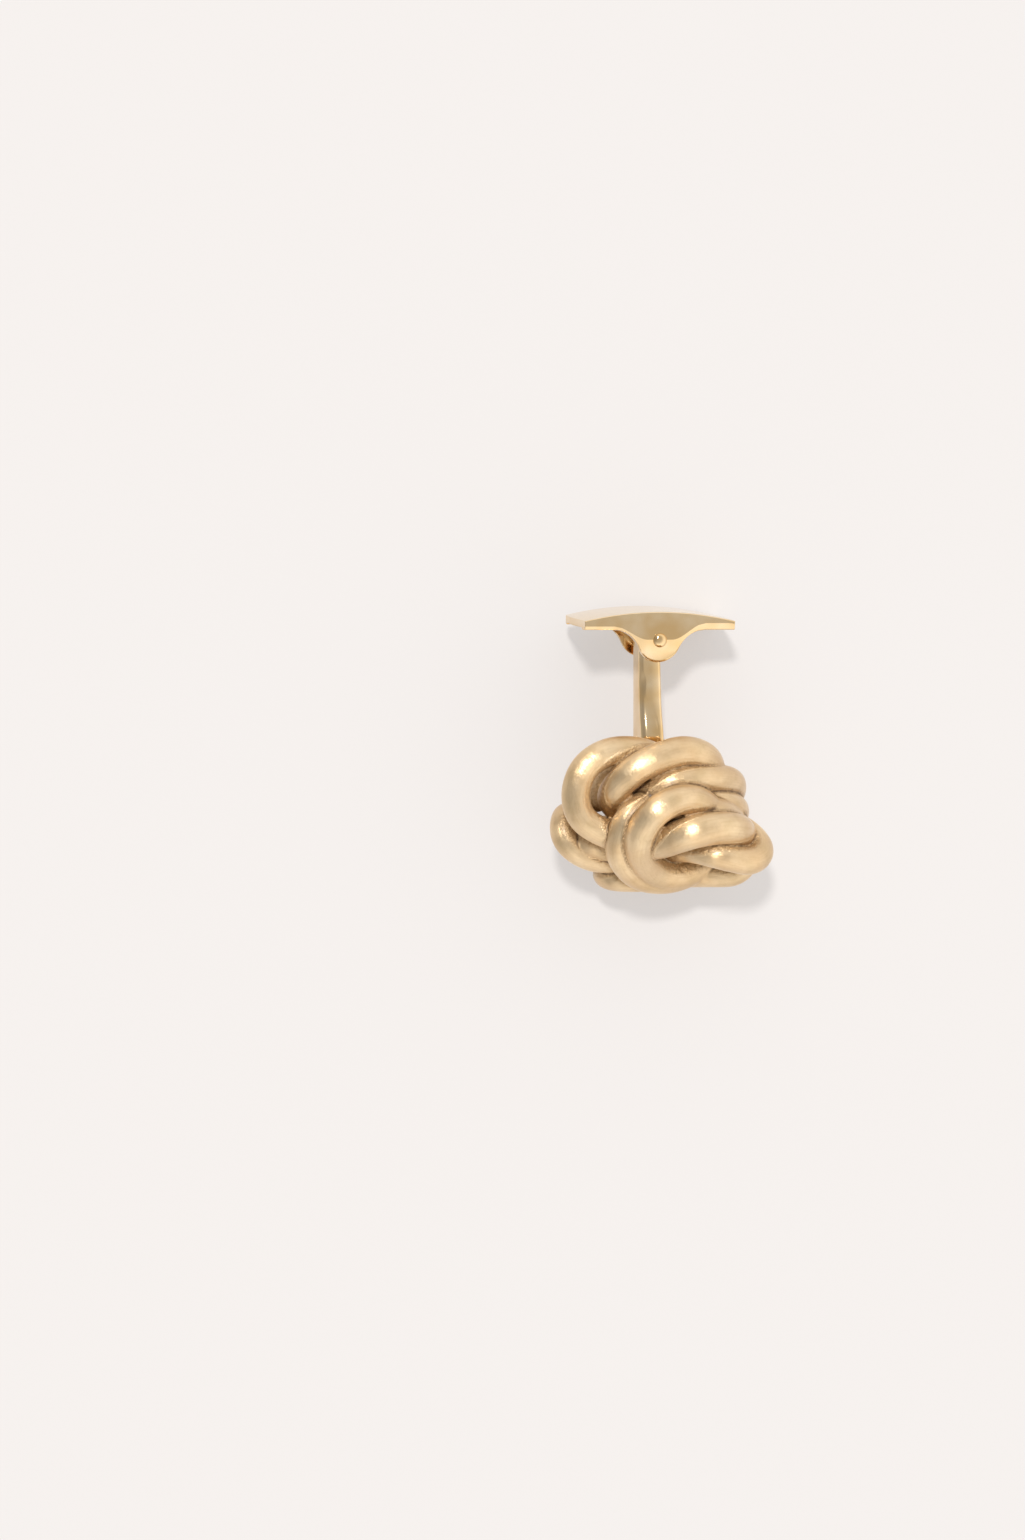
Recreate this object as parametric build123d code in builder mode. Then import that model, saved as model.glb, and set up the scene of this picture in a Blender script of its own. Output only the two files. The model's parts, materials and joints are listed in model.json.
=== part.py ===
import math
import os
from collections import namedtuple

from build123d import *

# ------------------------------------------------------------------
# Knot cufflink, lying on a table.
# A cast knot of one thick round wire, laid in three lengths that run
# beside each other in pairs, is soldered to a flat post.  The post
# ends in a cross barrel, which turns on a pin in the swivel bar.
#
# The pieces are drawn in the cufflink's own frame: the hinge pin is at
# the origin along Z, the post runs to -Y, the bar lies along X.  At the
# end all are laid down as the cufflink rests on a level surface.
# ------------------------------------------------------------------

# sizes, in millimetres
wire_diameter = 3.0        # the knot's round wire
wire_facets = 14           # flat facets around the wire
bend_step = 22             # the most that one facet's run turns, in degrees
facet_twist = 8            # each bow's facets are turned on from the last bow's, in degrees
grip_length = 9.6          # hinge pin to the knot's nearest shoulder, the room for the cuff

bar_length = 17.2          # swivel bar, end to end
bar_width = 9.5            # along the hinge pin
bar_rise = 1.0             # how far the back plate bows out over its length
bar_end_bow = 0.3          # how far each end bows out across its width
plate_thickness = 0.8
cheek_thickness = 1.1
wing_depth = 1.0           # height of the bar at its ends
back_height = 3.1          # hinge pin to the middle of the back plate's outer face
lobe_radius = 2.45         # round ear of the cheek at the pin
flare_radius = 3.2         # hollow curve from ear to wing
edge_round = 0.25          # softened outer edges of the bar

pin_diameter = 1.5
pin_proud = 0.35           # each end of the pin beyond the cheek
pin_fit = 0.02             # gap between the pin and its holes in the cheeks, on the radius
running_gap = 0.06         # gap between the pin and the barrel, on the radius
side_gap = 0.12            # gap between the barrel and each cheek

barrel_diameter = 3.0
post_width = 2.3           # along the bar, at the barrel
post_depth = 2.9           # along the pin, at the barrel
foot_width = 2.6           # the same two at the knot, where the post is stouter
foot_depth = 4.0
post_shift = -0.35         # the post stands off the pin's middle by this much, along the bar
post_round = 0.25          # softened edges of the post

# how the cufflink lies, in degrees: the post climbs from the knot to the
# bar, and the whole is rolled about the post, its right side down
post_rise = 11.90
post_roll = 11.42
bar_turn = -1.9            # the bar hangs this much off square to the post, in degrees

# ------------------------------------------------------------------
# Route of the wire.  Each bow is a row of corners that the wire's centre
# line rounds off: across (along the bar), along (towards the bar) and
# out (away from the surface it lies on), as shares of wire_diameter from
# the knot's middle.  Bows follow one another along each wire.
# ------------------------------------------------------------------
Corner = namedtuple("Corner", "across along out")

BOWS = {
    # over the left shoulder, from beside the post round to the front
    "shoulder_bow": [
        Corner(1.40,-0.06,1.68), Corner(0.74,1.26,2.12), Corner(-0.31,2.20,2.66),
        Corner(-1.32,2.60,2.98), Corner(-2.39,2.61,3.12), Corner(-3.29,2.08,3.19),
        Corner(-3.62,1.11,3.22), Corner(-3.40,0.23,3.20), Corner(-2.60,-0.29,3.14),
    ],
    # comes up inside the rings and runs right
    "front_bar": [
        Corner(-1.49,-0.66,3.04), Corner(-0.77,-0.70,3.87), Corner(0.06,-0.23,4.78),
        Corner(1.30,-0.08,4.63), Corner(2.12,-0.26,4.22), Corner(2.50,-0.64,2.88),
    ],
    # back to the left underneath
    "low_under_bow": [
        Corner(2.73, -1.59, 1.54), Corner(1.57, -1.96, 1.05), Corner(-0.10, -2.04, 0.72),
        Corner(-1.87, -2.03, 0.50),
    ],
    # turns up at the lower left
    "heel_bow": [
        Corner(-2.11, -2.14, 1.66), Corner(-0.68, -2.21, 1.88),
    ],
    # runs right again, inside the end loop
    "end_inner": [
        Corner(0.55,-2.06,2.04), Corner(1.63,-2.04,2.56), Corner(2.50,-2.05,2.72),
        Corner(2.85,-1.30,2.90),
    ],
    # the inner of the two front rings
    "ring_inner": [
        Corner(2.23, -0.75, 2.97), Corner(1.53, -0.09, 3.35), Corner(0.88, 0.78, 4.07),
        Corner(-0.20, 1.02, 4.51), Corner(-1.30, 0.42, 4.62),
    ],
    # and its way back underneath
    "ring_return": [
        Corner(-1.60, -0.77, 4.00), Corner(-0.78, -1.87, 2.95), Corner(0.44, -2.11, 2.55),
        Corner(1.49, -1.43, 2.53), Corner(1.86, -0.73, 2.08),
    ],
    # the outer of the two front rings
    "ring_outer": [
        Corner(1.88, -1.12, 2.13), Corner(1.34, -1.67, 2.53), Corner(0.17, -2.26, 2.44),
        Corner(-1.30, -2.06, 2.82), Corner(-2.20, -0.94, 3.50), Corner(-1.86, 0.31, 3.74),
        Corner(-0.66, 1.00, 3.50), Corner(0.77, 0.81, 3.00),
    ],
    # round the end of the front bar
    "end_loop": [
        Corner(1.92, -0.10, 2.76), Corner(2.76, -0.53, 3.13), Corner(3.15, -1.14, 3.70),
        Corner(2.59, -1.47, 4.18), Corner(1.26, -1.09, 4.38), Corner(0.59, -0.93, 3.70),
    ],
    # under the rings and out at the left
    "side_bow": [
        Corner(-0.12, -1.03, 2.52), Corner(-1.06, -1.45, 2.01), Corner(-2.76, -1.44, 1.81),
        Corner(-3.76, -0.66, 1.88), Corner(-3.57, 0.27, 1.43),
    ],
    # right across underneath
    "mid_under_bow": [
        Corner(-2.95, -0.30, 0.51), Corner(-1.97, -0.73, 0.02), Corner(-0.43, -0.27, -0.20),
        Corner(1.01, 0.06, 0.02), Corner(2.12, 0.24, 0.74),
    ],
    # up at the right and in under the crown
    "upper_band": [
        Corner(2.55,0.63,1.75), Corner(2.32,1.30,2.74), Corner(1.59,1.51,3.38),
        Corner(0.64,1.60,3.74), Corner(-0.30,1.42,3.76), Corner(-1.10,0.85,3.40),
        Corner(-1.60,0.20,2.70), Corner(-2.08,-0.42,2.35), Corner(-2.39,-0.99,1.68),
    ],
    # inside the shoulder bow
    "shoulder_inner": [
        Corner(1.22,0.59,1.56), Corner(0.20,1.62,1.89), Corner(-1.04,1.96,2.19),
        Corner(-2.12,1.63,2.38), Corner(-2.54,0.70,1.85),
    ],
    # carries the post's foot
    "seat_bow": [
        Corner(-2.16,0.72,0.74), Corner(-1.22,0.78,0.13), Corner(0.31,0.73,-0.10),
        Corner(1.40,0.83,0.52), Corner(1.68,1.15,1.51),
    ],
    # over the top, from right to the hole at the left
    "crown_bow": [
        Corner(1.59,1.64,2.55), Corner(1.21,2.29,3.32), Corner(0.29,2.63,3.66),
        Corner(-1.12,2.27,3.84), Corner(-2.14,1.47,3.62), Corner(-2.24,0.74,2.74),
    ],
    # back to the right below the upper band
    "lower_band": [
        Corner(-1.35,0.20,2.45), Corner(-0.30,0.70,3.20), Corner(0.89,0.84,3.42),
        Corner(1.83,0.61,3.25), Corner(2.46,0.30,2.67),
    ],
    # left across underneath
    "lower_under_bow": [
        Corner(2.62, -0.26, 1.65), Corner(2.17, -0.70, 0.79), Corner(0.94, -1.01, 0.24),
        Corner(-0.67, -1.12, -0.04), Corner(-2.02, -1.25, 0.22),
    ],
    # inside the side bow
    "side_inner": [
        Corner(-2.75,-1.22,0.89), Corner(-3.20,-0.72,1.30), Corner(-2.95,-0.75,2.12),
        Corner(-1.80,-1.06,2.36),
    ],
    # inside the rings, beside the front bar
    "bar_inner": [
        Corner(-0.64,-0.71,2.90), Corner(0.21,0.14,3.98), Corner(1.18,0.38,3.95),
        Corner(2.18,-0.02,3.02), Corner(2.17,-0.80,1.85),
    ],
}
WIRES = [
    ["shoulder_bow", "front_bar", "low_under_bow", "heel_bow", "end_inner", "ring_inner",
     "ring_return"],
    ["ring_outer", "end_loop", "side_bow", "mid_under_bow", "upper_band"],
    ["shoulder_inner", "seat_bow", "crown_bow", "lower_band", "lower_under_bow", "side_inner",
     "bar_inner"],
]

# ------------------------------------------------------------------
# places that follow from the sizes
# ------------------------------------------------------------------
shoulder_reach = max(c.along for bow in BOWS.values() for c in bow) + 0.5
foot_seat = 0.25           # how far the post's foot stops short of the knot's middle, in wires
knot_middle = Vector(0, -(grip_length + shoulder_reach * wire_diameter), 0)
post_length = grip_length + (shoulder_reach - foot_seat) * wire_diameter

channel_width = bar_width - 2 * cheek_thickness
barrel_length = channel_width - 2 * side_gap
pin_length = bar_width + 2 * pin_proud

end_height = back_height - bar_rise            # top of the bar's ends
wing_edge = end_height - wing_depth            # underside of the wings
flare_drop = wing_edge - flare_radius          # middle of the hollow flare curve
flare_reach = math.sqrt((lobe_radius + flare_radius) ** 2 - flare_drop ** 2)
ear_share = lobe_radius / (lobe_radius + flare_radius)

# corners of the wire's facets, placed so that the facets enclose as much as a round wire
facet_angle = 2 * math.pi / wire_facets
facet_radius = wire_diameter / 2 * math.sqrt(facet_angle / math.sin(facet_angle))


def wire_routes(names):
    """One wire's bows, each as (points, corner radii).  A bow starts and stops
    in the middle of a stretch, so the next bow carries straight on from it, and
    the arcs use nearly half of the shorter stretch beside each corner."""
    spots = [Vector(*c) * wire_diameter + knot_middle for name in names for c in BOWS[name]]
    radii = {}
    for i in range(1, len(spots) - 1):
        before, after = spots[i - 1] - spots[i], spots[i + 1] - spots[i]
        half_turn = math.radians(180 - before.get_angle(after)) / 2
        radii[i] = 0.49 * min(before.length, after.length) / math.tan(half_turn)
    routes, first = [], 0
    for name in names:
        last = first + len(BOWS[name]) - 1
        points = spots[first:last + 1]
        if first > 0:
            points = [(spots[first - 1] + spots[first]) / 2] + points
        if last < len(spots) - 1:
            points = points + [(spots[last] + spots[last + 1]) / 2]
        routes.append((points, [radii[i] for i in range(first, last + 1) if i in radii]))
        first = last + 1
    return routes


def centre_line(points, radii):
    """The rounded route as short straight runs that touch its arcs."""
    line = [points[0]]
    for before, corner, after, radius in zip(points, points[1:], points[2:], radii):
        u, v = (before - corner).normalized(), (after - corner).normalized()
        turn = math.radians(180 - u.get_angle(v))
        inward, sideways = (u + v).normalized(), (v - u).normalized()
        middle = corner + inward * (radius / math.cos(turn / 2))
        runs = max(1, math.ceil(math.degrees(turn) / bend_step))
        reach = radius / math.cos(turn / (2 * runs))
        for k in range(runs):
            a = turn * ((k + 0.5) / runs - 0.5)
            line.append(middle + (sideways * math.sin(a) - inward * math.cos(a)) * reach)
    line.append(points[-1])
    return line


def wire_solid(line, twist):
    """A round wire along the line, its sides flat facets mitred at every bend."""
    start = Plane(line[0], z_dir=line[1] - line[0])
    rings = [[start.from_local_coords(Vector(facet_radius, 0, 0).rotate(
        Axis.Z, twist + 360 * i / wire_facets)) for i in range(wire_facets)]]
    for k in range(1, len(line)):
        run = (line[k] - line[k - 1]).normalized()
        ahead = (line[k + 1] - line[k]).normalized() if k < len(line) - 1 else run
        mitre = run + ahead
        rings.append([p + run * ((line[k] - p).dot(mitre) / run.dot(mitre)) for p in rings[-1]])
    faces = [Face(Wire.make_polygon(ring)) for ring in (rings[0], rings[-1])]
    for near, far in zip(rings, rings[1:]):
        for i in range(wire_facets):
            j = (i + 1) % wire_facets
            faces.append(Face(Wire.make_polygon([near[i], near[j], far[j], far[i]])))
    return Solid(Shell(faces))


# ------------------------------------------------------------------
# knot head: the cast knot with its soldered post and hinge barrel
# ------------------------------------------------------------------
with BuildPart() as knot_head:
    count = 0
    for names in WIRES:
        for points, radii in wire_routes(names):
            add(wire_solid(centre_line(points, radii), facet_twist * count))
            count += 1
    # the post, stouter towards its foot
    with BuildSketch(Plane.XZ):
        with Locations((post_shift, 0)):
            RectangleRounded(post_width, post_depth, post_round)
    with BuildSketch(Plane.XZ.offset(post_length)):
        with Locations((post_shift, 0)):
            RectangleRounded(foot_width, foot_depth, post_round)
    loft()
    # the hinge barrel across its end, and its bore
    with BuildSketch(Plane.XY.offset(-barrel_length / 2)):
        Circle(barrel_diameter / 2)
    extrude(amount=barrel_length)
    with BuildSketch(Plane.XY.offset(-barrel_length / 2)):
        Circle(pin_diameter / 2 + running_gap)
    extrude(amount=barrel_length, mode=Mode.SUBTRACT)
knot_head.part.label = "knot_head"

# ------------------------------------------------------------------
# swivel bar: a bowed back plate between two cheeks with round ears
# ------------------------------------------------------------------
half = bar_length / 2
flare_middle = Vector(flare_reach, flare_drop)
ear_touch = flare_middle * ear_share
flare_half = flare_middle + flare_radius * (
    (Vector(0, 1) + (ear_touch - flare_middle).normalized()).normalized())

with BuildPart() as swivel_bar:
    for outer_side in (-bar_width / 2, bar_width / 2 - cheek_thickness):
        with BuildSketch(Plane.XY.offset(outer_side)):
            with BuildLine():
                ThreePointArc((-half, end_height), (0, back_height), (half, end_height))
                Line((half, end_height), (half, wing_edge))
                Line((half, wing_edge), (flare_reach, wing_edge))
                ThreePointArc((flare_reach, wing_edge), flare_half, ear_touch)
                ThreePointArc(ear_touch, (0, -lobe_radius), (-ear_touch.X, ear_touch.Y))
                ThreePointArc((-ear_touch.X, ear_touch.Y), (-flare_half.X, flare_half.Y),
                              (-flare_reach, wing_edge))
                Line((-flare_reach, wing_edge), (-half, wing_edge))
                Line((-half, wing_edge), (-half, end_height))
            make_face()
        extrude(amount=cheek_thickness)
    with BuildSketch(Plane.XY.offset(-bar_width / 2)):
        with BuildLine():
            ThreePointArc((-half, end_height), (0, back_height), (half, end_height))
            Line((half, end_height), (half, end_height - plate_thickness))
            ThreePointArc((half, end_height - plate_thickness), (0, back_height - plate_thickness),
                          (-half, end_height - plate_thickness))
            Line((-half, end_height - plate_thickness), (-half, end_height))
        make_face()
    extrude(amount=bar_width)
    # seen on its back, the bar has gently bowed ends
    with BuildSketch(Plane.XZ.offset(-back_height - 1)):
        side, corner = bar_width / 2, half - bar_end_bow
        with BuildLine():
            Line((-corner, -side), (corner, -side))
            ThreePointArc((corner, -side), (half, 0), (corner, side))
            Line((corner, side), (-corner, side))
            ThreePointArc((-corner, side), (-half, 0), (-corner, -side))
        make_face()
    extrude(amount=back_height + lobe_radius + 2, mode=Mode.INTERSECT)
    rims = (swivel_bar.edges().group_by(Axis.Z)[0] + swivel_bar.edges().group_by(Axis.Z)[-1])
    fillet(rims, radius=edge_round)
    # holes for the pin in both cheeks
    with BuildSketch(Plane.XY.offset(-bar_width / 2)):
        Circle(pin_diameter / 2 + pin_fit)
    extrude(amount=bar_width, mode=Mode.SUBTRACT)
swivel_bar.part.label = "swivel_bar"

# ------------------------------------------------------------------
# hinge pin, riveted through the cheeks with low domed ends
# ------------------------------------------------------------------
with BuildPart() as hinge_pin:
    with BuildSketch(Plane.XY.offset(-pin_length / 2)):
        Circle(pin_diameter / 2)
    extrude(amount=pin_length)
    fillet(hinge_pin.edges().filter_by(GeomType.CIRCLE), radius=pin_proud * 0.8)
hinge_pin.part.label = "hinge_pin"

# ------------------------------------------------------------------
# lay the cufflink down: turn it to its resting tilt, then set its lowest
# point on the surface with the middle of its outline over the origin
# ------------------------------------------------------------------
for piece in (swivel_bar, hinge_pin):
    piece.part.move(Rotation(0, 0, bar_turn))
pieces = [knot_head, swivel_bar, hinge_pin]
for piece in pieces:
    piece.part.move(Rotation(post_rise, post_roll, 0))
outline = Compound([piece.part for piece in pieces]).bounding_box()
middle = outline.center()
for piece in pieces:
    piece.part.move(Location((-middle.X, -middle.Y, -outline.min.Z)))
hinge_axis = Vector(0, 0, 1).rotate(Axis.Y, post_roll).rotate(Axis.X, post_rise)
print("hinge pin's middle, mm:", [round(-v, 3) for v in (middle.X, middle.Y, outline.min.Z)])
print("hinge axis:", [round(v, 5) for v in hinge_axis])

os.makedirs("parts", exist_ok=True)
export_step(knot_head.part, "parts/knot_head.step")
export_step(swivel_bar.part, "parts/swivel_bar.step")
export_step(hinge_pin.part, "parts/hinge_pin.step")
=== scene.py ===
import json
import math

import bpy
import numpy as np
from mathutils import Matrix, Vector


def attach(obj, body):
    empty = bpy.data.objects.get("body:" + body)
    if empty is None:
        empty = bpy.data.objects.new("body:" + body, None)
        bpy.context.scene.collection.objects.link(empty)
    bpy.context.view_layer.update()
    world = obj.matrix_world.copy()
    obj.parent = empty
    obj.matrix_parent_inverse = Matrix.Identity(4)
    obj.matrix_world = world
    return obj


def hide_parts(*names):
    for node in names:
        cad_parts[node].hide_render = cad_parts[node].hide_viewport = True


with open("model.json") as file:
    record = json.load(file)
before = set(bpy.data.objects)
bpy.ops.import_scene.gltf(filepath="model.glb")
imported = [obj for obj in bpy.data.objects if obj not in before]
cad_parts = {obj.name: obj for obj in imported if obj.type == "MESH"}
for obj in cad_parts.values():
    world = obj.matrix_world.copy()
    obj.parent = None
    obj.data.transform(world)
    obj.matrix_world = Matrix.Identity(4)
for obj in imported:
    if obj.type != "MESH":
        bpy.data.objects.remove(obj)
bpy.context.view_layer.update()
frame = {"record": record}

# ------------------------------------------------------------------
# Knot cufflink, dressed for its picture.  Lengths are in millimetres
# in the cufflink's own frame (hinge pin at the origin along Z, post to
# -Y, bar along X) until they are set into the scene, in metres.
# ------------------------------------------------------------------
MM = 0.001

# the solids' own sizes
wire_diameter = 3.0
grip_length = 9.6          # hinge pin to the knot's nearest shoulder
foot_seat = 0.25           # how far the post's foot stops short of the knot's middle, in wires

bar_length = 17.2
bar_width = 9.5            # along the hinge pin
bar_rise = 1.0             # how far the back plate bows out over its length
bar_end_bow = 0.3          # how far each end bows out across its width
plate_thickness = 0.8
cheek_thickness = 1.1
wing_depth = 1.0           # height of the bar at its ends
back_height = 3.1          # hinge pin to the middle of the back plate's outer face
lobe_radius = 2.45         # round ear of the cheek at the pin
flare_radius = 3.2         # hollow curve from ear to wing

pin_diameter = 1.5
pin_proud = 0.35           # each end of the pin beyond the cheek
side_gap = 0.12            # between the barrel and each cheek
barrel_diameter = 3.0

post_width, post_depth = 2.3, 2.9      # at the barrel, along the bar and along the pin
foot_width, foot_depth = 2.6, 4.0      # the same two at the knot
post_round = 0.25
post_shift = -0.35         # off the pin's middle, along the bar

# how the cufflink lies, in degrees: the post climbs from the knot to the bar, the
# whole is rolled to its right, and the bar hangs a little off square to the post
post_rise, post_roll, bar_turn = 11.90, 11.42, -1.9
hinge = frame["record"]["behaviour"]["joints"][0]
pivot = Vector(hinge["pos_m"])
lie = (Matrix.Rotation(math.radians(post_rise), 3, "X")
       @ Matrix.Rotation(math.radians(post_roll), 3, "Y"))
to_scene = Matrix.Translation(pivot) @ lie.to_4x4() @ Matrix.Scale(MM, 4)
bar_to_scene = to_scene @ Matrix.Rotation(math.radians(bar_turn), 4, "Z")


# ------------------------------------------------------------------
# camera: a long lens nearly straight above, where the photograph was
# taken.  The bar's and the post's directions are given as it sees them:
# to the right, down the picture and away from it.
# ------------------------------------------------------------------
bar_seen = Vector((0.9788, -0.0420, 0.2003)).normalized()
post_seen = Vector((-0.0181, -0.9926, -0.1201))
out_seen = bar_seen.cross(post_seen).normalized()
post_seen = out_seen.cross(bar_seen)
seen = Matrix((bar_seen, post_seen, out_seen)).transposed()
right, down, away = seen @ lie.transposed()

image = (1025, 1540)       # width and height of the picture, in pixels
hinge_px = (649.5, 637)    # where the middle of the hinge pin shows in it
focal_px = 3600            # length of the lens
px_per_mm = 9.2            # scale at the hinge pin
distance = focal_px / px_per_mm * MM
to_right, to_down = ((hinge_px[k] - image[k] / 2) / px_per_mm * MM for k in (0, 1))
eye = pivot - right * to_right - down * to_down - away * distance

cam_data = bpy.data.cameras.new("camera")
cam_data.lens = focal_px * cam_data.sensor_width / image[1]
cam_data.clip_start, cam_data.clip_end = 0.01, 10
camera = bpy.data.objects.new("camera", cam_data)
camera.matrix_world = (Matrix.Translation(eye)
                       @ Matrix((right, -down, -away)).transposed().to_4x4())
bpy.context.scene.collection.objects.link(camera)
bpy.context.scene.camera = camera

# ------------------------------------------------------------------
# route of the wire: the corners that each bow's centre line rounds off,
# across (along the bar), along (towards the bar) and out (away from the
# floor), as shares of the wire's diameter from the knot's middle
# ------------------------------------------------------------------
BOWS = {
    # over the left shoulder, from beside the post round to the front
    "shoulder_bow": [
        (1.40, -0.06, 1.68), (0.74, 1.26, 2.12), (-0.31, 2.20, 2.66),
        (-1.32, 2.60, 2.98), (-2.39, 2.61, 3.12), (-3.29, 2.08, 3.19),
        (-3.62, 1.11, 3.22), (-3.40, 0.23, 3.20), (-2.60, -0.29, 3.14),
    ],
    # comes up inside the rings and runs right
    "front_bar": [
        (-1.49, -0.66, 3.04), (-0.77, -0.70, 3.87), (0.06, -0.23, 4.78),
        (1.30, -0.08, 4.63), (2.12, -0.26, 4.22), (2.50, -0.64, 2.88),
    ],
    # back to the left underneath
    "low_under_bow": [
        (2.73, -1.59, 1.54), (1.57, -1.96, 1.05), (-0.10, -2.04, 0.72),
        (-1.87, -2.03, 0.50),
    ],
    # turns up at the lower left
    "heel_bow": [
        (-2.11, -2.14, 1.66), (-0.68, -2.21, 1.88),
    ],
    # runs right again, inside the end loop
    "end_inner": [
        (0.55, -2.06, 2.04), (1.63, -2.04, 2.56), (2.50, -2.05, 2.72),
        (2.85, -1.30, 2.90),
    ],
    # the inner of the two front rings
    "ring_inner": [
        (2.23, -0.75, 2.97), (1.53, -0.09, 3.35), (0.88, 0.78, 4.07),
        (-0.20, 1.02, 4.51), (-1.30, 0.42, 4.62),
    ],
    # and its way back underneath
    "ring_return": [
        (-1.60, -0.77, 4.00), (-0.78, -1.87, 2.95), (0.44, -2.11, 2.55),
        (1.49, -1.43, 2.53), (1.86, -0.73, 2.08),
    ],
    # the outer of the two front rings
    "ring_outer": [
        (1.88, -1.12, 2.13), (1.34, -1.67, 2.53), (0.17, -2.26, 2.44),
        (-1.30, -2.06, 2.82), (-2.20, -0.94, 3.50), (-1.86, 0.31, 3.74),
        (-0.66, 1.00, 3.50), (0.77, 0.81, 3.00),
    ],
    # round the end of the front bar
    "end_loop": [
        (1.92, -0.10, 2.76), (2.76, -0.53, 3.13), (3.15, -1.14, 3.70),
        (2.59, -1.47, 4.18), (1.26, -1.09, 4.38), (0.59, -0.93, 3.70),
    ],
    # under the rings and out at the left
    "side_bow": [
        (-0.12, -1.03, 2.52), (-1.06, -1.45, 2.01), (-2.76, -1.44, 1.81),
        (-3.76, -0.66, 1.88), (-3.57, 0.27, 1.43),
    ],
    # right across underneath
    "mid_under_bow": [
        (-2.95, -0.30, 0.51), (-1.97, -0.73, 0.02), (-0.43, -0.27, -0.20),
        (1.01, 0.06, 0.02), (2.12, 0.24, 0.74),
    ],
    # up at the right and in under the crown
    "upper_band": [
        (2.55, 0.63, 1.75), (2.32, 1.30, 2.74), (1.59, 1.51, 3.38),
        (0.64, 1.60, 3.74), (-0.30, 1.42, 3.76), (-1.10, 0.85, 3.40),
        (-1.60, 0.20, 2.70), (-2.08, -0.42, 2.35), (-2.39, -0.99, 1.68),
    ],
    # inside the shoulder bow
    "shoulder_inner": [
        (1.22, 0.59, 1.56), (0.20, 1.62, 1.89), (-1.04, 1.96, 2.19),
        (-2.12, 1.63, 2.38), (-2.54, 0.70, 1.85),
    ],
    # carries the post's foot
    "seat_bow": [
        (-2.16, 0.72, 0.74), (-1.22, 0.78, 0.13), (0.31, 0.73, -0.10),
        (1.40, 0.83, 0.52), (1.68, 1.15, 1.51),
    ],
    # over the top, from right to the hole at the left
    "crown_bow": [
        (1.59, 1.64, 2.55), (1.21, 2.29, 3.32), (0.29, 2.63, 3.66),
        (-1.12, 2.27, 3.84), (-2.14, 1.47, 3.62), (-2.24, 0.74, 2.74),
    ],
    # back to the right below the upper band
    "lower_band": [
        (-1.35, 0.20, 2.45), (-0.30, 0.70, 3.20), (0.89, 0.84, 3.42),
        (1.83, 0.61, 3.25), (2.46, 0.30, 2.67),
    ],
    # left across underneath
    "lower_under_bow": [
        (2.62, -0.26, 1.65), (2.17, -0.70, 0.79), (0.94, -1.01, 0.24),
        (-0.67, -1.12, -0.04), (-2.02, -1.25, 0.22),
    ],
    # inside the side bow
    "side_inner": [
        (-2.75, -1.22, 0.89), (-3.20, -0.72, 1.30), (-2.95, -0.75, 2.12),
        (-1.80, -1.06, 2.36),
    ],
    # inside the rings, beside the front bar
    "bar_inner": [
        (-0.64, -0.71, 2.90), (0.21, 0.14, 3.98), (1.18, 0.38, 3.95),
        (2.18, -0.02, 3.02), (2.17, -0.80, 1.85),
    ],
}
WIRES = [
    ["shoulder_bow", "front_bar", "low_under_bow", "heel_bow", "end_inner", "ring_inner",
     "ring_return"],
    ["ring_outer", "end_loop", "side_bow", "mid_under_bow", "upper_band"],
    ["shoulder_inner", "seat_bow", "crown_bow", "lower_band", "lower_under_bow", "side_inner",
     "bar_inner"],
]
# how much thicker than the wire some bows were cast
THICKNESS = {
    "crown_bow": 1.07, "front_bar": 1.16, "ring_inner": 1.07, "ring_return": 1.06,
    "shoulder_bow": 1.02, "bar_inner": 1.2,
}


# ------------------------------------------------------------------
# helpers for meshes
# ------------------------------------------------------------------
def unit(v):
    return v / np.linalg.norm(v)


def step(low, high, value):
    """Climbs smoothly from 0 at low to 1 at high."""
    t = min(1, max(0, (value - low) / (high - low)))
    return t * t * (3 - 2 * t)


def walls(rows, n, first=0, turned_over=False):
    """Quads between successive rings of n spots, of which the first spot's number is first."""
    faces = []
    for k in range(rows - 1):
        a, b = first + k * n, first + (k + 1) * n
        for i in range(n):
            j = (i + 1) % n
            faces.append((a + i, b + i, b + j, a + j) if turned_over
                         else (a + i, a + j, b + j, b + i))
    return faces


def closed(rows, n, turned_over=False):
    """The walls between rings of n spots, with a cap on both ends."""
    near, far = tuple(range(n)), tuple(range((rows - 1) * n, rows * n))
    caps = [near, far[::-1]] if turned_over else [near[::-1], far]
    return walls(rows, n, 0, turned_over) + caps


def spindle(end):
    """A profile with both ends alike, from one end's (radius, height) pairs, axis first."""
    return [(r, -z) for r, z in end] + end[::-1]


def turned(profile, sides=64):
    """A solid of revolution about Z from (radius, height) pairs that start and end on the axis."""
    spots = [(0, 0, profile[0][1])]
    for r, z in profile[1:-1]:
        for i in range(sides):
            a = 2 * math.pi * i / sides
            spots.append((r * math.cos(a), r * math.sin(a), z))
    spots.append((0, 0, profile[-1][1]))
    rows, top = len(profile) - 2, len(spots) - 1
    last = top - sides
    faces = [(0, 1 + (i + 1) % sides, 1 + i) for i in range(sides)]
    faces += walls(rows, sides, first=1)
    faces += [(last + i, last + (i + 1) % sides, top) for i in range(sides)]
    return spots, faces


def plain_object(name, spots, faces, scene_frame=Matrix.Identity(4)):
    mesh = bpy.data.meshes.new(name)
    mesh.from_pydata([tuple(p) for p in spots], [], faces)
    mesh.update()
    mesh.transform(scene_frame)
    mesh.polygons.foreach_set("use_smooth", [True] * len(mesh.polygons))
    obj = bpy.data.objects.new(name, mesh)
    bpy.context.scene.collection.objects.link(obj)
    return obj


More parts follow.
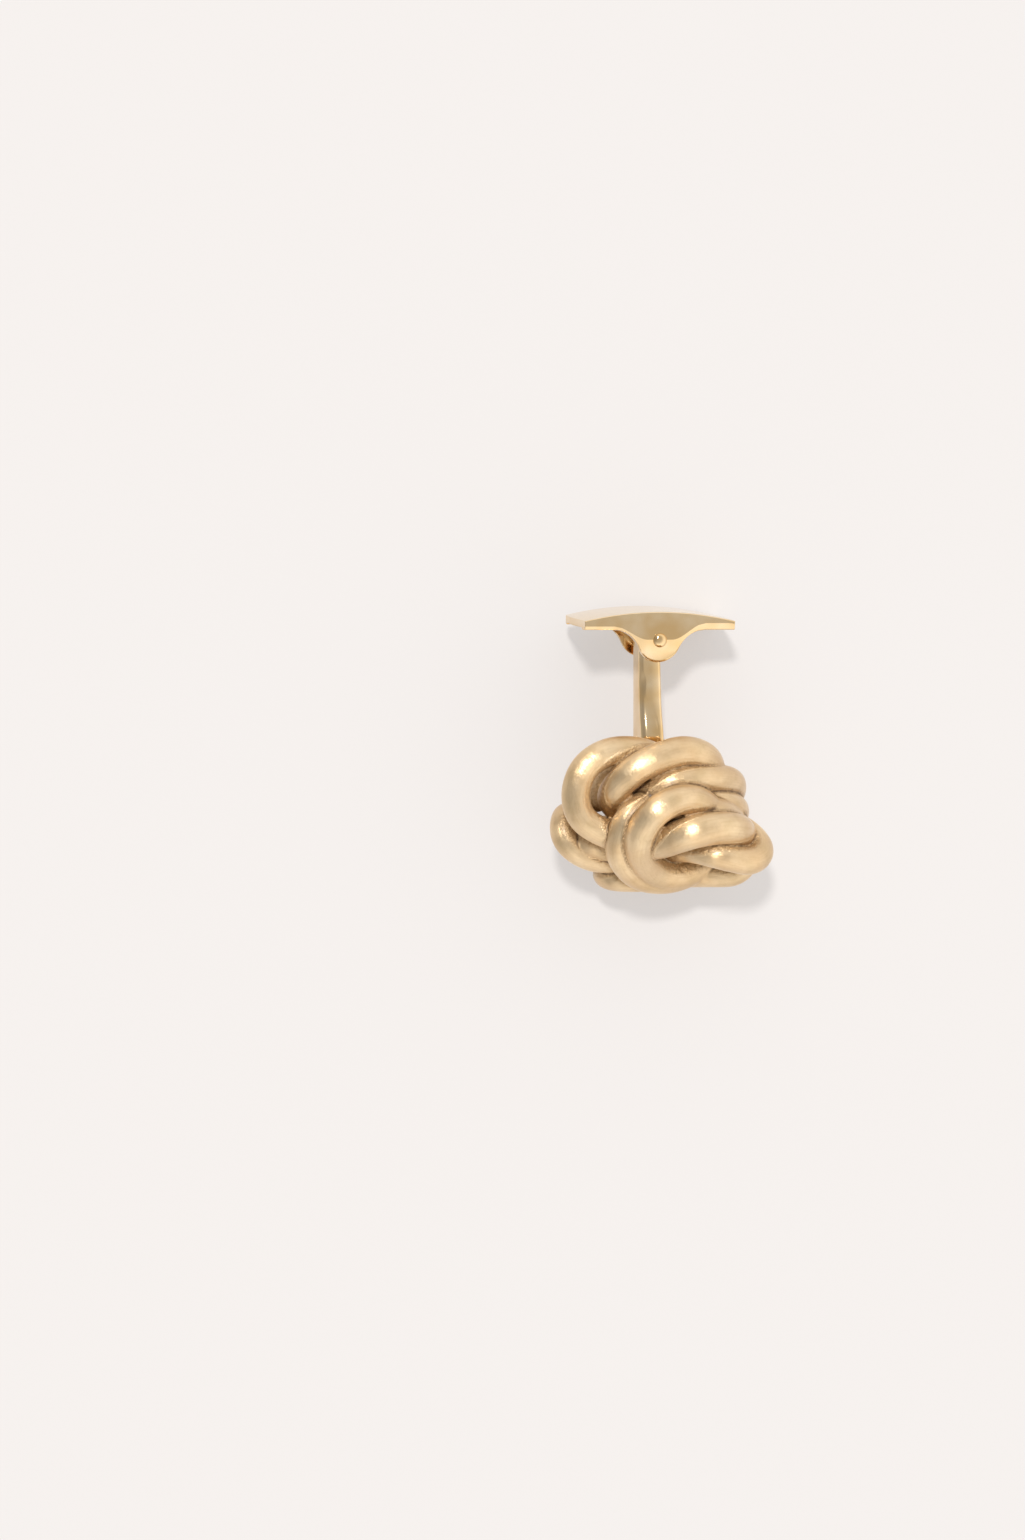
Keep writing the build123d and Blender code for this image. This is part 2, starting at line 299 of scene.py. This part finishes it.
def new_mesh(name, spots, faces, body, *nodes, scene_frame=to_scene):
    """A piece set into the scene, moving with a body in the place of the solids' nodes."""
    obj = plain_object(name, spots, faces, scene_frame)
    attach(obj, body)
    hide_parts(*nodes)
    return obj


def point_values(obj, name, values):
    """Stores a number at each point of a mesh, for its material to read."""
    layer = obj.data.attributes.new(name, "FLOAT", "POINT")
    layer.data.foreach_set("value", np.asarray(values, np.float32))


# ------------------------------------------------------------------
# the wires' smooth centre lines
# ------------------------------------------------------------------
sample = 0.1               # spacing of the samples along a centre line
bend_share = 0.49          # share of the shorter stretch beside a corner that its arc takes
line_widths = (4, 4)       # running means that ease a centre line, in samples to each side
radius_widths = (16, 12)   # and its radius
askew = (0.31, 0.57, 0.76)  # a direction that no bow sets out along


def rounded(corners):
    """A wire's corners rounded by arcs: evenly spaced spots, and how far along each lies."""
    line = [corners[0]]
    for before, corner, after in zip(corners, corners[1:], corners[2:]):
        u, v = unit(before - corner), unit(after - corner)
        turn = math.pi - math.acos(float(np.clip(u @ v, -1, 1)))
        stretch = min(np.linalg.norm(before - corner), np.linalg.norm(after - corner))
        radius = bend_share * stretch / math.tan(turn / 2)
        inward, sideways = unit(u + v), unit(v - u)
        middle = corner + inward * (radius / math.cos(turn / 2))
        for a in np.linspace(-turn / 2, turn / 2, max(3, int(turn * radius / sample))):
            line.append(middle + (sideways * math.sin(a) - inward * math.cos(a)) * radius)
    line.append(corners[-1])
    line = np.array(line)
    reach = np.concatenate([[0], np.cumsum(np.linalg.norm(np.diff(line, axis=0), axis=1))])
    at = np.linspace(0, reach[-1], int(reach[-1] / sample) + 1)
    return np.column_stack([np.interp(at, reach, line[:, k]) for k in range(3)]), at


def eased(values, widths):
    """Running means one after the other, with the ends held."""
    for width in widths:
        pad = np.pad(values, [(width, width)] + [(0, 0)] * (values.ndim - 1), mode="edge")
        total = np.cumsum(np.insert(pad, 0, 0, axis=0), axis=0)
        values = (total[2 * width + 1:] - total[:-2 * width - 1]) / (2 * width + 1)
    return values


def directions(line):
    """Along a line, and two ways square to it that don't twist from spot to spot."""
    ahead = np.gradient(line, axis=0)
    ahead /= np.linalg.norm(ahead, axis=1, keepdims=True)
    side = np.empty_like(ahead)
    side[0] = unit(np.cross(ahead[0], askew))
    for k in range(1, len(side)):
        side[k] = unit(side[k - 1] - ahead[k] * (side[k - 1] @ ahead[k]))
    return ahead, side, np.cross(ahead, side)


shoulder_reach = max(along for bow in BOWS.values() for _, along, _ in bow) + 0.5
knot_middle = np.array([0, -(grip_length + shoulder_reach * wire_diameter), 0])
bows = []                  # each bow's wire, centre line, radii and lengths along the wire
for wire, names in enumerate(WIRES):
    corners = np.array([c for name in names for c in BOWS[name]]) * wire_diameter + knot_middle
    line, at = rounded(corners)
    stops, first = [0.0], 0            # where along the wire each bow stops
    for name in names[:-1]:
        first += len(BOWS[name])
        joint = (corners[first - 1] + corners[first]) / 2
        stops.append(at[np.linalg.norm(line - joint, axis=1).argmin()])
    stops.append(at[-1] + 1)
    radius = np.ones(len(at)) * wire_diameter / 2
    for name, low, high in zip(names, stops, stops[1:]):
        radius[(at >= low) & (at < high)] *= THICKNESS.get(name, 1.0)
    line, radius = eased(line, line_widths), eased(radius, radius_widths)
    for low, high in zip(stops, stops[1:]):
        part = (at >= low - sample / 2) & (at < high + sample / 2)
        bows.append({"wire": wire, "line": line[part], "radius": radius[part], "at": at[part]})

# ------------------------------------------------------------------
# the knot: one skin around all the wires.  Tubes are merged roughly,
# and the merged mesh is then drawn onto the wires' common surface.
# ------------------------------------------------------------------
tube_sides, tube_every = 20, 4         # tube's sides, and samples from ring to ring
voxel = 0.18               # size of the skin's squares
crease = 0.07              # roundness of the creases between wires
settling_rounds = 3
look_out = 3.2             # how far from its centre line a bow is looked for
FAR = 9.0                  # depth to a bow beyond that
one_surface = 3.0          # next bows of a wire are one surface this near their joint
batch = 8000               # spots handled at a time


def tube(line, radius):
    """A closed tube around a line."""
    _, side, other = directions(line)
    a = np.linspace(0, 2 * math.pi, tube_sides, endpoint=False)[:, None]
    rings = [p + r * (np.cos(a) * s + np.sin(a) * o)
             for p, r, s, o in zip(line, radius, side, other)]
    return np.concatenate(rings), closed(len(rings), tube_sides)


def wire_distances(points, every=1):
    """Each point's distance to each bow's surface, with the number of the nearest sample."""
    depth = np.empty((len(points), len(bows)), np.float32)
    near = np.empty((len(points), len(bows)), np.int32)
    for b, bow in enumerate(bows):
        line = bow["line"][::every].astype(np.float32)
        radius = bow["radius"][::every].astype(np.float32)
        low, high = line.min(0) - look_out, line.max(0) + look_out
        close = np.flatnonzero(((points > low) & (points < high)).all(1))
        depth[:, b], near[:, b] = FAR, 0
        for chunk in np.array_split(close, max(1, len(close) // batch)):
            p = points[chunk].astype(np.float32)
            squares = (p ** 2).sum(1)[:, None] + (line ** 2).sum(1) - 2 * p @ line.T
            d = np.sqrt(np.maximum(squares, 0)) - radius
            k = d.argmin(1)
            depth[chunk, b], near[chunk, b] = d[np.arange(len(chunk)), k], k * every
    for b, (bow, after) in enumerate(zip(bows, bows[1:])):
        if bow["wire"] == after["wire"]:
            same = np.abs(bow["at"][near[:, b]] - after["at"][near[:, b + 1]]) < one_surface
            worse = same & (depth[:, b] > depth[:, b + 1])
            depth[worse, b] = FAR
            depth[same & ~worse, b + 1] = FAR
    return depth, near


def settle(points):
    """Moves points onto the wires' common surface, and gives the way that it faces there."""
    depth, near = wire_distances(points)
    least = depth.min(1, keepdims=True)
    weight = np.exp(-(depth - least) / crease)
    total = weight.sum(1, keepdims=True)
    level = least[:, 0] - crease * np.log(total[:, 0])
    slope = np.zeros_like(points)
    for b, bow in enumerate(bows):
        use = np.flatnonzero(weight[:, b] > 1e-3)
        outward = points[use] - bow["line"][near[use, b]]
        outward /= np.maximum(np.linalg.norm(outward, axis=1, keepdims=True), 1e-6)
        slope[use] += outward * (weight[use, b] / total[use, 0])[:, None]
    size = np.maximum(np.linalg.norm(slope, axis=1), 0.5)
    return points - slope * (level / size ** 2)[:, None], slope / size[:, None], depth, near


def neighbours_mean(points):
    total = np.zeros_like(points)
    number = np.zeros(len(points))
    for a, b in ((0, 1), (1, 0)):
        np.add.at(total, edges[:, a], points[edges[:, b]])
        np.add.at(number, edges[:, a], 1)
    return total / number[:, None]


spots, faces, count = [], [], 0
for bow in bows:
    tube_spots, tube_faces = tube(bow["line"][::tube_every], bow["radius"][::tube_every])
    spots.append(tube_spots)
    faces += [tuple(count + i for i in face) for face in tube_faces]
    count += len(tube_spots)
rough = plain_object("rough", np.concatenate(spots), faces)
remesh = rough.modifiers.new("one skin", "REMESH")
remesh.mode, remesh.voxel_size, remesh.adaptivity = "VOXEL", voxel, 0.0
shape = rough.evaluated_get(bpy.context.evaluated_depsgraph_get()).to_mesh()
skin = np.empty(len(shape.vertices) * 3)
shape.vertices.foreach_get("co", skin)
skin = skin.reshape(-1, 3)
quads = [tuple(p.vertices) for p in shape.polygons]
edges = np.empty(len(shape.edges) * 2, int)
shape.edges.foreach_get("vertices", edges)
edges = edges.reshape(-1, 2)
bpy.data.objects.remove(rough)

skin = settle(skin)[0]
for _ in range(settling_rounds):
    skin = skin + (neighbours_mean(skin) - skin) * 0.5
    skin = settle(skin)[0]
skin, facing, depth, near = settle(skin)
knot = new_mesh("knot_cast", skin, quads, "cufflink", "knot_head")

# hollow: how much of the outlook from each spot the other strands take, looking
# out to these distances.  groove: how near the next strand is.  In the satin both
# darken the colour as painted shade; hollow also places the cast grain.
outlooks = (0.5, 1.1, 2.2, 3.6)
groove_width = 0.35
hollow = np.zeros(len(skin))
for reach in outlooks:
    room = wire_distances(skin + facing * reach, every=3)[0].min(1)
    hollow += np.clip(1 - room / reach, 0, 1) / len(outlooks)
groove = np.exp(-np.clip(np.sort(depth, axis=1)[:, 1], 0, FAR) / groove_width)
point_values(knot, "hollow", hollow)
point_values(knot, "groove", groove)

# the brushing runs along each wire: the map's unit is this long on the metal, and
# the wires are set apart on it so that no two are brushed alike
map_length, wires_apart = 10.0, 37.0
strand = depth.argmin(1)
along, around = np.zeros(len(skin)), np.zeros(len(skin))
for b, bow in enumerate(bows):
    ahead, side, other = directions(bow["line"])
    use = np.flatnonzero(strand == b)
    k = near[use, b]
    off = skin[use] - bow["line"][k]
    along[use] = bow["at"][k] + (off * ahead[k]).sum(1) + wires_apart * bow["wire"]
    around[use] = np.arctan2((off * other[k]).sum(1), (off * side[k]).sum(1))
corner_spots = np.empty(len(knot.data.loops), int)
knot.data.loops.foreach_get("vertex_index", corner_spots)
first = np.repeat([p.loop_start for p in knot.data.polygons],
                  [p.loop_total for p in knot.data.polygons])
turn = around[corner_spots]            # each face keeps to one side of the map's seam
turn -= 2 * math.pi * np.round((turn - around[corner_spots[first]]) / (2 * math.pi))
brushed_uv = np.column_stack([along[corner_spots] / map_length,
                              turn * wire_diameter / (2 * map_length)])
knot.data.uv_layers.new(name="brushed").data.foreach_set("uv", brushed_uv.ravel())


# ------------------------------------------------------------------
# the post, filed by hand, with the barrel across its end
# ------------------------------------------------------------------
post_rings = 81
post_start = 0.2           # its first ring is this far down from the pin
belly_across, belly_out = 0.05, 0.10   # how far its sides swell, across and out

# what the file took off its front face, and where: x across it, s down from the pin
slope_off, slope_x = 0.16, (-1.15, -0.62)              # the left edge, sloped back
dip_off, dip_x = 0.13, (-0.72, -0.45)                  # a shallow dip beside it
dip_middle_s, dip_reach_s = 4.9, 1.5
foot_off, foot_s = 0.085, (5.2, 6.6)                   # the foot's hollow, left of a soft S
curve_x, curve_s, curve_soft = (-0.62, 0.53), (5.6, 9.6), 0.12
flare_out, flare_s = 0.6, (7.0, 11.0)                  # the foot stands out towards the knot


def rounded_rectangle(width, deep, corner, steps=5, flats=14):
    """Spots around a rectangle with round corners, its sides cut into short flats."""
    ring = []
    for cx, cz, start in ((1, 1, 0), (-1, 1, 90), (-1, -1, 180), (1, -1, 270)):
        for k in range(steps + 1):
            a = math.radians(start + 90 * k / steps)
            ring.append((cx * (width / 2 - corner) + corner * math.cos(a),
                         cz * (deep / 2 - corner) + corner * math.sin(a)))
    full = []
    for i, (x, z) in enumerate(ring):
        full.append((x, z))
        if i % (steps + 1) == steps:        # the side that follows a corner
            nx, nz = ring[(i + 1) % len(ring)]
            full += [(x + (nx - x) * k / flats, z + (nz - z) * k / flats)
                     for k in range(1, flats)]
    return full


def hand_filed(x, s):
    """How far the post's front face is filed down, at x across it and s down from the pin."""
    curve = curve_x[0] + (curve_x[1] - curve_x[0]) * step(*curve_s, s)
    left_of_curve = 1 - step(curve - curve_soft, curve + curve_soft, x)
    hollow_foot = foot_off * step(*foot_s, s) * left_of_curve
    left_slope = slope_off * (1 - step(*slope_x, x))
    dip_along = max(0, 1 - ((s - dip_middle_s) / dip_reach_s) ** 2) ** 2
    dip = dip_off * dip_along * (1 - step(*dip_x, x))
    flare = flare_out * step(*flare_s, s)
    return hollow_foot + left_slope + dip - flare


post_length = grip_length + (shoulder_reach - foot_seat) * wire_diameter
spots = []
for k in range(post_rings):
    t = k / (post_rings - 1)
    s = post_start + (post_length - post_start) * t
    wide = post_width + (foot_width - post_width) * t
    deep = post_depth + (foot_depth - post_depth) * t
    ring = rounded_rectangle(wide, deep, post_round)
    for x, z in ring:
        swell_x = math.copysign(belly_across, x) * (1 - (2 * z / deep) ** 2)
        swell_z = math.copysign(belly_out, z) * (1 - (2 * x / wide) ** 2)
        x, z = x + swell_x, z + swell_z
        # the sides follow the filed face less and less towards the post's middle
        z -= hand_filed(x, s) * step(0.0, deep / 2 - post_round, z)
        spots.append((x + post_shift, -s, z))
post = new_mesh("post", spots, closed(post_rings, len(ring), turned_over=True),
                "cufflink", "knot_head")

barrel_r = barrel_diameter / 2
barrel_half = bar_width / 2 - cheek_thickness - side_gap
barrel_end = [(0, barrel_half), (barrel_r - 0.20, barrel_half),
              (barrel_r - 0.06, barrel_half - 0.05), (barrel_r, barrel_half - 0.18)]
barrel = new_mesh("barrel", *turned(spindle(barrel_end)), "cufflink", "knot_head")


# ------------------------------------------------------------------
# the swivel bar: a channel drawn out along its length, its cheeks rolled
# off towards their lower outline, and the pin's domed ends
# ------------------------------------------------------------------
half, side = bar_length / 2, bar_width / 2
end_height = back_height - bar_rise
wing_edge = end_height - wing_depth
flare_drop = wing_edge - flare_radius
flare_reach = math.sqrt((lobe_radius + flare_radius) ** 2 - flare_drop ** 2)
ear_x = flare_reach * lobe_radius / (lobe_radius + flare_radius)
back_radius = (half ** 2 + bar_rise ** 2) / (2 * bar_rise)

back_crown = 0.02          # the back plate's rise across its width
rim_round = 0.16           # its rounded long edges
rim_end = 0.2              # where the cheek's flat starts below them
roll_round = 0.34          # the cheek's round at its lower outline
inner_round = 0.12         # and at the inside of that outline
crease_low, climb_x = 0.08, (1.4, 5.2) # the crease's height by the pin, and where it climbs
climb_left, climb_right = 1.42, 1.78   # how far
crease_clear = 0.34        # the least that it stays below the back
foot_most, foot_share = 0.36, 0.25     # height of the roll, in all and as a share of the band
slope_share, slope_swell = 0.27, 0.07  # how far the band leans in, and how round it is
stations = sorted({round(x, 4) for x in (
    0.0, 0.4, 0.8, 1.2, 1.5, 1.7, 1.85, 1.95, 2.02, ear_x, 2.2, 2.3, 2.45, 2.65, 2.9, 3.2,
    3.55, 3.95, 4.4, flare_reach, 5.5, 6.1, 6.7, 7.3, 7.8, 8.3, half)})
stations = [-x for x in stations[:0:-1]] + stations


def back_at(x, sunk=0.0):
    """Height of the back plate's outer face at x, or of the face sunk below it."""
    return back_height - back_radius + math.sqrt((back_radius - sunk) ** 2 - x * x)


def edge_at(x):
    """The cheek's lower outline: round ear, hollow flare, straight wing."""
    x = abs(x)
    if x < ear_x:
        return -math.sqrt(lobe_radius ** 2 - x * x)
    if x < flare_reach:
        return flare_drop + math.sqrt(flare_radius ** 2 - (x - flare_reach) ** 2)
    return wing_edge


def crease_at(x):
    """Where the cheek's flat gives way to the sloping band along its lower outline."""
    climb = climb_right if x > 0 else climb_left
    return min(crease_low + climb * step(*climb_x, abs(x)), back_at(x) - crease_clear)


def channel(x):
    """Half of the section at x, from the middle of the back round to the middle inside: (z, y)."""
    top, low, crease_y = back_at(x), edge_at(x), crease_at(x)
    inside = max(back_at(x, plate_thickness), low + inner_round + 0.02)
    flat_top = top - rim_end
    foot_y = low + min(foot_most, foot_share * (crease_y - low))
    slope_z = slope_share * (crease_y - foot_y)
    inner = side - cheek_thickness
    points = [(side * k, top - back_crown * k * k) for k in (0, 0.3, 0.6, 0.8, 0.93)]
    points += [(side - rim_round + rim_round * math.sin(a),
                top - back_crown - rim_round + rim_round * math.cos(a))
               for a in np.linspace(0.15, 1.45, 5)]
    points += [(side, flat_top - (flat_top - crease_y) * k) for k in (0.1, 0.5, 1.0)]
    points += [(side - slope_z * ((1 - slope_swell) * k + slope_swell * k * k),
                crease_y - (crease_y - foot_y) * k) for k in (0.06, 0.3, 0.65, 1.0)]
    points += [(side - slope_z - roll_round * (1 - math.cos(a)),
                foot_y - (foot_y - low) * math.sin(a)) for a in (0.3, 0.6, 0.9, 1.2, 1.5)]
    points += [(inner + inner_round, low), (inner + 0.03, low + 0.03), (inner, low + inner_round)]
    points += [(inner, inside), (inner - 0.1, inside + 0.02), (0, back_at(x, plate_thickness))]
    return points


spots = []
for x in stations:
    section = channel(x)
    loop = section + [(-z, y) for z, y in section[-2:0:-1]]
    spots += [(x / half * (half - bar_end_bow * (z / side) ** 2), y, z) for z, y in loop]
bar = new_mesh("bar", spots, closed(len(stations), len(loop)), "toggle", "swivel_bar",
               scene_frame=bar_to_scene)
sharp_from = 11            # degrees between faces that show as an edge
sheen_band = 0.12           # the back, down to this much below its middle line, gets a painted highlight: a paler colour, and a little less roughness
bar.data.set_sharp_from_angle(angle=math.radians(sharp_from))
point_values(bar, "back_sheen", [float(y > back_at(x) - sheen_band) for x, y, _ in spots])
soften = bar.modifiers.new("soft ends", "BEVEL")
soften.width, soften.segments = 0.12 * MM, 3
soften.limit_method, soften.angle_limit = "ANGLE", math.radians(60)

pin_end, pin_r = side + pin_proud, pin_diameter / 2
dome_height = 0.38
pin_tip = [(0, pin_end)]
pin_tip += [(pin_r * math.sin(a), pin_end - dome_height * (1 - math.cos(a)))
            for a in np.linspace(0.25, 1.5, 7)]
pin_tip += [(pin_r, pin_end - dome_height - 0.04)]
pin = new_mesh("pin", *turned(spindle(pin_tip)), "toggle", "hinge_pin", scene_frame=bar_to_scene)


# ------------------------------------------------------------------
# materials
# ------------------------------------------------------------------
class Nodes:
    """Short names for building a node tree around its shader."""
    def __init__(self, tree, shader="Principled BSDF"):
        self.tree = tree
        self.shader = tree.nodes[shader]

    def put(self, socket, value):
        if isinstance(value, bpy.types.NodeSocket):
            self.tree.links.new(value, socket)
        else:
            socket.default_value = value

    def to(self, key, value):
        self.put(self.shader.inputs[key], value)

    def add(self, kind, inputs=(), **settings):
        node = self.tree.nodes.new(kind)
        for key, value in settings.items():
            setattr(node, key, value)
        for key, value in dict(inputs).items():
            self.put(node.inputs[key], value)
        return node

    def attribute(self, name):
        return self.add("ShaderNodeAttribute", attribute_name=name).outputs["Fac"]

    def mapped(self, where, scale, turn=(0.0, 0.0, 0.0)):
        inputs = {"Vector": where, "Rotation": turn, "Scale": scale}
        return self.add("ShaderNodeMapping", inputs).outputs["Vector"]

    def noise(self, where, scale, detail, roughness=0.5):
        inputs = {"Vector": where, "Scale": scale, "Detail": detail, "Roughness": roughness}
        return self.add("ShaderNodeTexNoise", inputs).outputs["Fac"]

    def spread(self, value, low, high, to_low=0.0, to_high=1.0, **settings):
        """Value's stretch from low to high, drawn out to the one from to_low to to_high."""
        inputs = {"Value": value, "From Min": low, "From Max": high,
                  "To Min": to_low, "To Max": to_high}
        return self.add("ShaderNodeMapRange", inputs, **settings).outputs["Result"]

    def math(self, operation, a, b):
        node = self.add("ShaderNodeMath", operation=operation)
        for socket, value in zip(node.inputs, (a, b)):
            self.put(socket, value)
        return node.outputs[0]

    def times(self, a, b):
        return self.math("MULTIPLY", a, b)

    def plus(self, a, b):
        return self.math("ADD", a, b)

    def mix(self, share, a, b):
        """Colour a with a share of colour b."""
        node = self.add("ShaderNodeMix", data_type="RGBA")
        sockets = {s.identifier: s for s in node.inputs}
        for key, value in (("Factor_Float", share), ("A_Color", a), ("B_Color", b)):
            self.put(sockets[key], value)
        return next(s for s in node.outputs if s.identifier == "Result_Color")

    def bump(self, height, strength, distance, normal=None):
        inputs = {"Height": height, "Strength": strength, "Distance": distance}
        if normal is not None:
            inputs["Normal"] = normal
        return self.add("ShaderNodeBump", inputs).outputs["Normal"]


def new_material(name):
    material = bpy.data.materials.new(name)
    material.use_nodes = True
    return material, Nodes(material.node_tree)


def linear(r, g, b):
    """A colour as the eye sees it, 0 to 255, as the light it stands for."""
    return tuple(((c / 255 + 0.055) / 1.055) ** 2.4 if c > 10.3 else c / 255 / 12.92
                 for c in (r, g, b)) + (1.0,)


gold, gold_painted_shade, gold_pale = linear(223, 191, 147), linear(200, 164, 116), linear(238, 212, 172)
gold_olive, gold_streak = linear(206, 178, 132), linear(196, 164, 116)
gold_polished, gold_painted_sheen = linear(228, 193, 140), linear(246, 228, 196)
# tarnish darkens the cast grain's flecks; the dark brown is painted shade for the deepest creases
tarnish, crease_shade_brown = linear(150, 112, 66), linear(100, 70, 40)

# satin: brushed along the wire where it stands proud, cast grain where it lies deep,
# and painted shade: a darker gold in the hollows and beside the next strand, dark brown in the
# deepest creases
satin_material, satin = new_material("satin_gold")
place = satin.add("ShaderNodeTexCoord").outputs["Object"]
brushing = satin.add("ShaderNodeUVMap", uv_map="brushed").outputs["UV"]
hollow_at, groove_at = satin.attribute("hollow"), satin.attribute("groove")
cloud = satin.noise(place, 260.0, 3.0)
patch = satin.noise(place, 420.0, 1.5)
dents = satin.noise(place, 900.0, 1.5, 0.4)
grain = satin.noise(place, 2600.0, 4.0, 0.65)
speck = satin.noise(place, 4200.0, 2.0, 0.6)
streak = satin.noise(satin.mapped(brushing, (5.0, 42.0, 1.0)), 1.0, 4.0, 0.6)
hairline = satin.noise(satin.mapped(brushing, (14.0, 110.0, 1.0)), 1.0, 3.0, 0.6)
deep_down = satin.spread(hollow_at, 0.18, 0.42)
# seam: the deepest creases, made rougher and painted dark brown as shade
seam = satin.times(satin.spread(groove_at, 0.45, 0.8), satin.spread(hollow_at, 0.24, 0.5))
pitted = satin.times(deep_down, satin.spread(grain, 0.35, 0.7))
flecked = satin.times(satin.spread(grain, 0.5, 0.68),
                      satin.plus(satin.times(deep_down, 0.34), 0.08))

tone = satin.mix(satin.spread(cloud, 0.35, 0.68), gold, gold_pale)
for share, colour in (
        (satin.times(satin.spread(patch, 0.5, 0.66), 0.4), gold_olive),
        # painted shade: a darker gold in the hollows and beside the next strand
        (satin.times(deep_down, 0.5), gold_painted_shade),
        (satin.times(groove_at, 0.35), gold_painted_shade),
        (flecked, tarnish),
        (satin.times(satin.spread(streak, 0.42, 0.7), 0.22), gold_streak),
        # painted shade: dark brown lines in the deepest creases
        (satin.times(seam, 0.78), crease_shade_brown)):
    tone = satin.mix(share, tone, colour)
satin.to("Base Color", tone)
satin.to("Metallic", 1.0)
satin.to("Coat Weight", 0.5)
satin.to("Coat Roughness", 0.33)
satin.to("Anisotropic", 0.75)
satin.to("Anisotropic Rotation", 0.25)
tangent = satin.add("ShaderNodeTangent", direction_type="UV_MAP", uv_map="brushed")
satin.to("Tangent", tangent.outputs["Tangent"])
brushed = satin.spread(satin.plus(streak, satin.times(cloud, 0.6)), 0.5, 1.1, 0.33, 0.45)
unbrushed = satin.plus(satin.times(pitted, 0.2), satin.times(seam, 0.3))
satin.to("Roughness", satin.plus(brushed, unbrushed))
relief = None
for height, strength, distance in (        # distances in metres
        (streak, 0.55, 0.00006),
        (hairline, 0.5, 0.00003),
        (speck, 0.5, 0.00004),
        (dents, 0.5, 0.00010),
        (satin.times(grain, deep_down), 1.0, 0.00022)):
    relief = satin.bump(height, strength, distance, relief)
satin.to("Normal", relief)

# polish: cloudy with fine scratches, and a painted highlight on the bar's back: a paler gold for
# the bright reflection there, and a little less roughness
polish_material, polish = new_material("polished_gold")
place = polish.add("ShaderNodeTexCoord").outputs["Object"]
sheen_at = polish.attribute("back_sheen")
cloud = polish.noise(place, 320.0, 2.0)
swirl = polish.mapped(place, (900.0, 9000.0, 900.0), turn=(0.4, 0.2, 0.7))
scratch = polish.noise(swirl, 1.0, 2.0, 0.6)
tone = polish.mix(polish.spread(cloud, 0.35, 0.65), gold_polished, gold_pale)
# painted highlight: the bar's back mixed towards a pale gold
polish.to("Base Color", polish.mix(polish.times(sheen_at, 0.6), tone, gold_painted_sheen))
polish.to("Metallic", 1.0)
scuffed = polish.spread(polish.plus(cloud, polish.times(scratch, 0.5)), 0.45, 1.1, 0.06, 0.15)
polish.to("Roughness", polish.plus(scuffed, polish.times(sheen_at, -0.03)))
polish.to("Normal", polish.bump(scratch, 0.03, 0.00001))

knot.data.materials.append(satin_material)
for obj in (post, barrel, bar, pin):
    obj.data.materials.append(polish_material)

# ------------------------------------------------------------------
# floor and light
# ------------------------------------------------------------------
floor_reach = 2            # metres from its middle to each edge
floor_corners = [(x * floor_reach, y * floor_reach, 0)
                 for x, y in ((-1, -1), (1, -1), (1, 1), (-1, 1))]
floor_mesh = bpy.data.meshes.new("floor")
floor_mesh.from_pydata(floor_corners, [], [(0, 1, 2, 3)])
floor = bpy.data.objects.new("floor", floor_mesh)
bpy.context.scene.collection.objects.link(floor)
paper_material, paper = new_material("floor_paper")
paper.to("Base Color", (0.35, 0.336, 0.326, 1.0))
paper.to("Emission Color", (1.0, 0.965, 0.955, 1.0))
paper.to("Emission Strength", 0.445)
paper.to("Roughness", 1.0)
paper.to("Specular IOR Level", 0.0)
floor_mesh.materials.append(paper_material)

sun_from = Vector((-0.07, 0.27, 1.0))
sun_data = bpy.data.lights.new("key", "SUN")
sun_data.energy, sun_data.angle = 1.9, math.radians(7)
sun_data.color = (1.0, 0.99, 0.98)
sun = bpy.data.objects.new("key", sun_data)
sun.rotation_euler = sun_from.to_track_quat("Z", "Y").to_euler()
bpy.context.scene.collection.objects.link(sun)

# the room: brightest at the middle of its walls, dark straight above and to the left,
# and a little brighter on the near side
SKY = (                    # height, from level with the floor at 0 to overhead at 1; brightness
    (0.0, 1.1), (0.3, 1.35), (0.6, 1.3), (0.76, 0.92), (0.87, 0.64), (1.0, 0.62),
)
sky_colour = (1.0, 0.985, 0.965)
world = bpy.data.worlds.new("studio")
bpy.context.scene.world = world
world.use_nodes = True
sky = Nodes(world.node_tree, "Background")
outlook = sky.add("ShaderNodeTexCoord").outputs["Generated"]
toward = sky.add("ShaderNodeSeparateXYZ", {"Vector": outlook}).outputs
ramp = sky.add("ShaderNodeValToRGB", {"Fac": toward["Z"]})
while len(ramp.color_ramp.elements) < len(SKY):
    ramp.color_ramp.elements.new(0.5)
for element, (height, level) in zip(ramp.color_ramp.elements, SKY):
    element.position = height
    element.color = (*(level * c for c in sky_colour), 1)
sky.to("Color", ramp.outputs["Color"])
from_left = sky.spread(toward["X"], -0.85, 0.0, 0.34, 0.95, interpolation_type="SMOOTHSTEP")
from_near = sky.spread(toward["Y"], -1.0, 1.0, 1.12, 0.9)
sky.to("Strength", sky.times(from_left, from_near))

scene = bpy.context.scene
scene.view_settings.view_transform = "Standard"
scene.view_settings.look = "None"
scene.view_settings.exposure = 0.0
